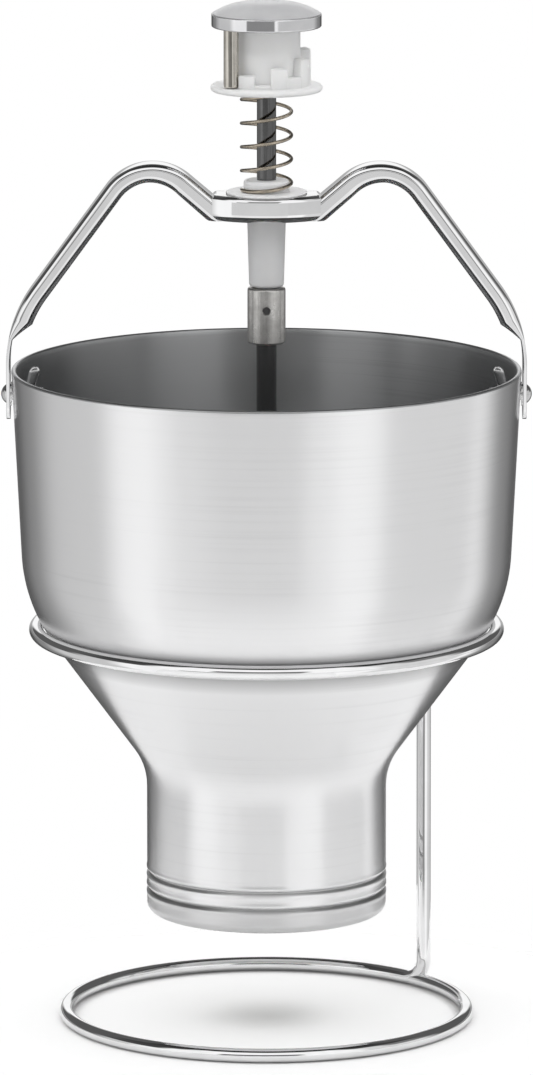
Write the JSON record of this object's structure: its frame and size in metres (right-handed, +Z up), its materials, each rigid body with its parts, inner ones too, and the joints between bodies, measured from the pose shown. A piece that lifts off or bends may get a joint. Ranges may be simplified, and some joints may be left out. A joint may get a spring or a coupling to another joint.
{
  "type": "batter dispenser",
  "caption": "Hand batter dispenser: spun hopper with funnel and neck in a wire stand, bail with guide bush, sprung plunger, stepped thickness dial and push knob.",
  "frame": {"origin": "on the hopper's axis, on the table under the base ring", "axes": "+Z up along the plunger, +X to the right along the bail, -Y to the front"},
  "size_m": [0.2204, 0.2119, 0.4291],
  "materials": {
    "chromed_wire": "bright chrome plate on steel wire",
    "chromed_sheet": "bright chrome plate on pressed steel",
    "bright_hardware": "bright plated steel",
    "spun_aluminium": "satin, with fine lines round the axis",
    "white_acetal": "moulded, satin",
    "white_nylon": "moulded, slightly translucent",
    "grey_nylon": "moulded, satin",
    "spring_steel": "plain drawn wire",
    "nickel_steel": "turned, nickel plated, satin",
    "knob_chrome": "turned, satin chrome plate",
    "dark_steel": "drawn rod, dark",
    "black_gloss": "gloss black coating",
    "black_rubber": "moulded ring"
  },
  "bodies": {
    "stand": {"stand_base_wire": "chromed_wire", "stand_support_ring": "chromed_wire"},
    "hopper": {"hopper_shell": "spun_aluminium", "nozzle_insert": "white_acetal", "bail_handle": "chromed_sheet", "pivot_screws": "bright_hardware", "pivot_spacers": "bright_hardware", "pivot_washers": "bright_hardware", "wing_nuts": "bright_hardware", "guide_bush": "grey_nylon", "bush_retaining_ring": "bright_hardware", "return_spring": "spring_steel"},
    "plunger": {"push_knob": "knob_chrome", "knob_screw": "bright_hardware", "stop_pin": "nickel_steel", "upper_rod": "dark_steel", "rod_coupling": "nickel_steel", "coupling_screw": "dark_steel", "lower_rod": "black_gloss", "piston": "white_acetal", "piston_seal": "black_rubber", "stem_spacer": "white_acetal", "forming_disc": "white_acetal", "plunger_nut": "bright_hardware"},
    "dial": {"thickness_dial": "white_nylon"}
  },
  "joints": [
    {"name": "hopper_lift", "type": "slide", "parent": "stand", "child": "hopper", "axis": [0, 0, 1], "range_m": [0, 0.15]},
    {"name": "plunger_push", "type": "slide", "parent": "hopper", "child": "plunger", "axis": [0, 0, -1], "range_m": [0, 0.032], "stiffness_N_per_m": 600, "springref_m": -0.02, "deforming": ["return_spring"]},
    {"name": "dial_turn", "type": "hinge", "parent": "plunger", "child": "dial", "pos_m": [0, 0, 0.4], "axis": [0, 0, 1], "range_deg": [0, 92]}
  ]
}
